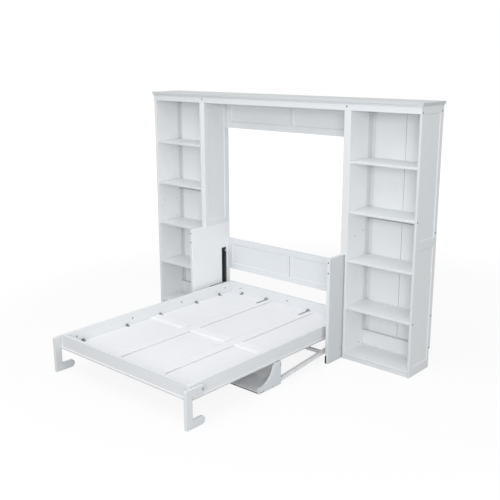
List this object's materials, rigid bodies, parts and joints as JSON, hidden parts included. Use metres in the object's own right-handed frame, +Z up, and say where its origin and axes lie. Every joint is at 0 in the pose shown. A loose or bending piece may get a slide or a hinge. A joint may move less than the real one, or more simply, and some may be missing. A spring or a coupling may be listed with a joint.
{
  "type": "wall bed",
  "caption": "Fold-down wall bed between two open bookcase towers, with a desk that stays level under the bed, folding legs and gas struts.",
  "frame": {"origin": "middle of the unit where the wall meets the floor", "axes": "X across the unit to the right seen from the room, Y into the wall, Z up"},
  "size_m": [2.876, 2.045, 2.1],
  "materials": {
    "white_wood": "satin white paint",
    "white_steel": "satin powder coat",
    "black_steel": "satin black",
    "zinc_steel": "zinc plated",
    "black_plastic": "matt"
  },
  "bodies": {
    "cabinet": {"top_board": "white_wood", "top_moulding": "white_wood", "top_fascia": "white_wood", "tower_plinths": "white_wood", "back_battens": "white_wood", "skirting_ledges": "white_wood", "upper_back_panel": "white_wood", "lower_back_panel": "white_wood", "cheek_toe_caps": "black_plastic", "bed_pivot_pins": "zinc_steel", "link_pivot_pins": "zinc_steel", "cabinet_screws": "zinc_steel", "left_tower_outer_side": "white_wood", "left_tower_inner_side": "white_wood", "left_tower_bottom": "white_wood", "left_lower_fixed_shelf": "white_wood", "left_upper_fixed_shelf": "white_wood", "left_loose_shelves": "white_wood", "left_tower_back": "white_wood", "left_upper_side": "white_wood", "left_cheek": "white_wood", "left_strut_plate": "black_steel", "right_tower_outer_side": "white_wood", "right_tower_inner_side": "white_wood", "right_tower_bottom": "white_wood", "right_lower_fixed_shelf": "white_wood", "right_upper_fixed_shelf": "white_wood", "right_loose_shelves": "white_wood", "right_tower_back": "white_wood", "right_upper_side": "white_wood", "right_cheek": "white_wood", "right_strut_plate": "black_steel"},
    "bed": {"bed_left_rail": "white_wood", "bed_right_rail": "white_wood", "bed_foot_rail": "white_wood", "bed_head_rail": "white_wood", "bed_base_left": "white_wood", "bed_base_centre": "white_wood", "bed_base_right": "white_wood", "deck_batten_left": "white_wood", "deck_batten_right": "white_wood", "deck_cross_battens": "white_wood", "rail_brackets": "black_steel", "head_straps": "black_steel", "bed_bolts": "black_steel", "bed_pivot_fittings": "black_steel", "leg_bolts": "zinc_steel", "desk_hangers": "zinc_steel"},
    "desk": {"desktop": "white_wood", "desk_left_side": "white_wood", "desk_right_side": "white_wood", "desk_back": "white_wood", "desk_pins": "zinc_steel"},
    "desk_link": {"desk_link_frame": "white_steel"},
    "left_leg": {"left_leg": "white_wood"},
    "left_strut_cylinder": {"left_strut_cylinder": "black_steel"},
    "left_strut_rod": {"left_strut_rod": "zinc_steel"},
    "right_leg": {"right_leg": "white_wood"},
    "right_strut_cylinder": {"right_strut_cylinder": "black_steel"},
    "right_strut_rod": {"right_strut_rod": "zinc_steel"}
  },
  "joints": [
    {"name": "bed_fold", "type": "hinge", "parent": "cabinet", "child": "bed", "pos_m": [0, -0.26, 0.25], "axis": [-1, 0, 0], "range_deg": [0, 90]},
    {"name": "desk_level", "type": "hinge", "parent": "bed", "child": "desk", "pos_m": [0, -1.066, 0.172], "axis": [-1, 0, 0], "range_deg": [-90, 0]},
    {"name": "link_swing", "type": "hinge", "parent": "cabinet", "child": "desk_link", "pos_m": [0, -0.345, 0.096], "axis": [-1, 0, 0], "range_deg": [0, 90]},
    {"name": "left_leg_swing", "type": "hinge", "parent": "bed", "child": "left_leg", "pos_m": [-0.743, -1.886, 0.257], "axis": [-1, 0, 0], "range_deg": [-90, 0]},
    {"name": "left_strut_swing", "type": "hinge", "parent": "cabinet", "child": "left_strut_cylinder", "pos_m": [-0.745, -0.08, 0.615], "axis": [-1, 0, 0], "range_deg": [0, 18.29]},
    {"name": "left_strut_stroke", "type": "slide", "parent": "left_strut_cylinder", "child": "left_strut_rod", "axis": [0, 0, -1], "range_m": [0, 0.2091]},
    {"name": "right_leg_swing", "type": "hinge", "parent": "bed", "child": "right_leg", "pos_m": [0.743, -1.886, 0.257], "axis": [-1, 0, 0], "range_deg": [-90, 0]},
    {"name": "right_strut_swing", "type": "hinge", "parent": "cabinet", "child": "right_strut_cylinder", "pos_m": [0.745, -0.08, 0.615], "axis": [-1, 0, 0], "range_deg": [0, 18.29]},
    {"name": "right_strut_stroke", "type": "slide", "parent": "right_strut_cylinder", "child": "right_strut_rod", "axis": [0, 0, -1], "range_m": [0, 0.2091]}
  ],
  "couplings": [
    {"joint": "desk_level", "follows": "bed_fold", "ratio": -1},
    {"joint": "link_swing", "follows": "bed_fold", "ratio": 1},
    {"joint": "left_leg_swing", "follows": "bed_fold", "ratio": -1},
    {"joint": "left_strut_swing", "follows": "bed_fold", "ratio": 0.20308},
    {"joint": "left_strut_stroke", "follows": "bed_fold", "m_per_rad": 0.13303},
    {"joint": "right_leg_swing", "follows": "bed_fold", "ratio": -1},
    {"joint": "right_strut_swing", "follows": "bed_fold", "ratio": 0.20308},
    {"joint": "right_strut_stroke", "follows": "bed_fold", "m_per_rad": 0.13303}
  ]
}
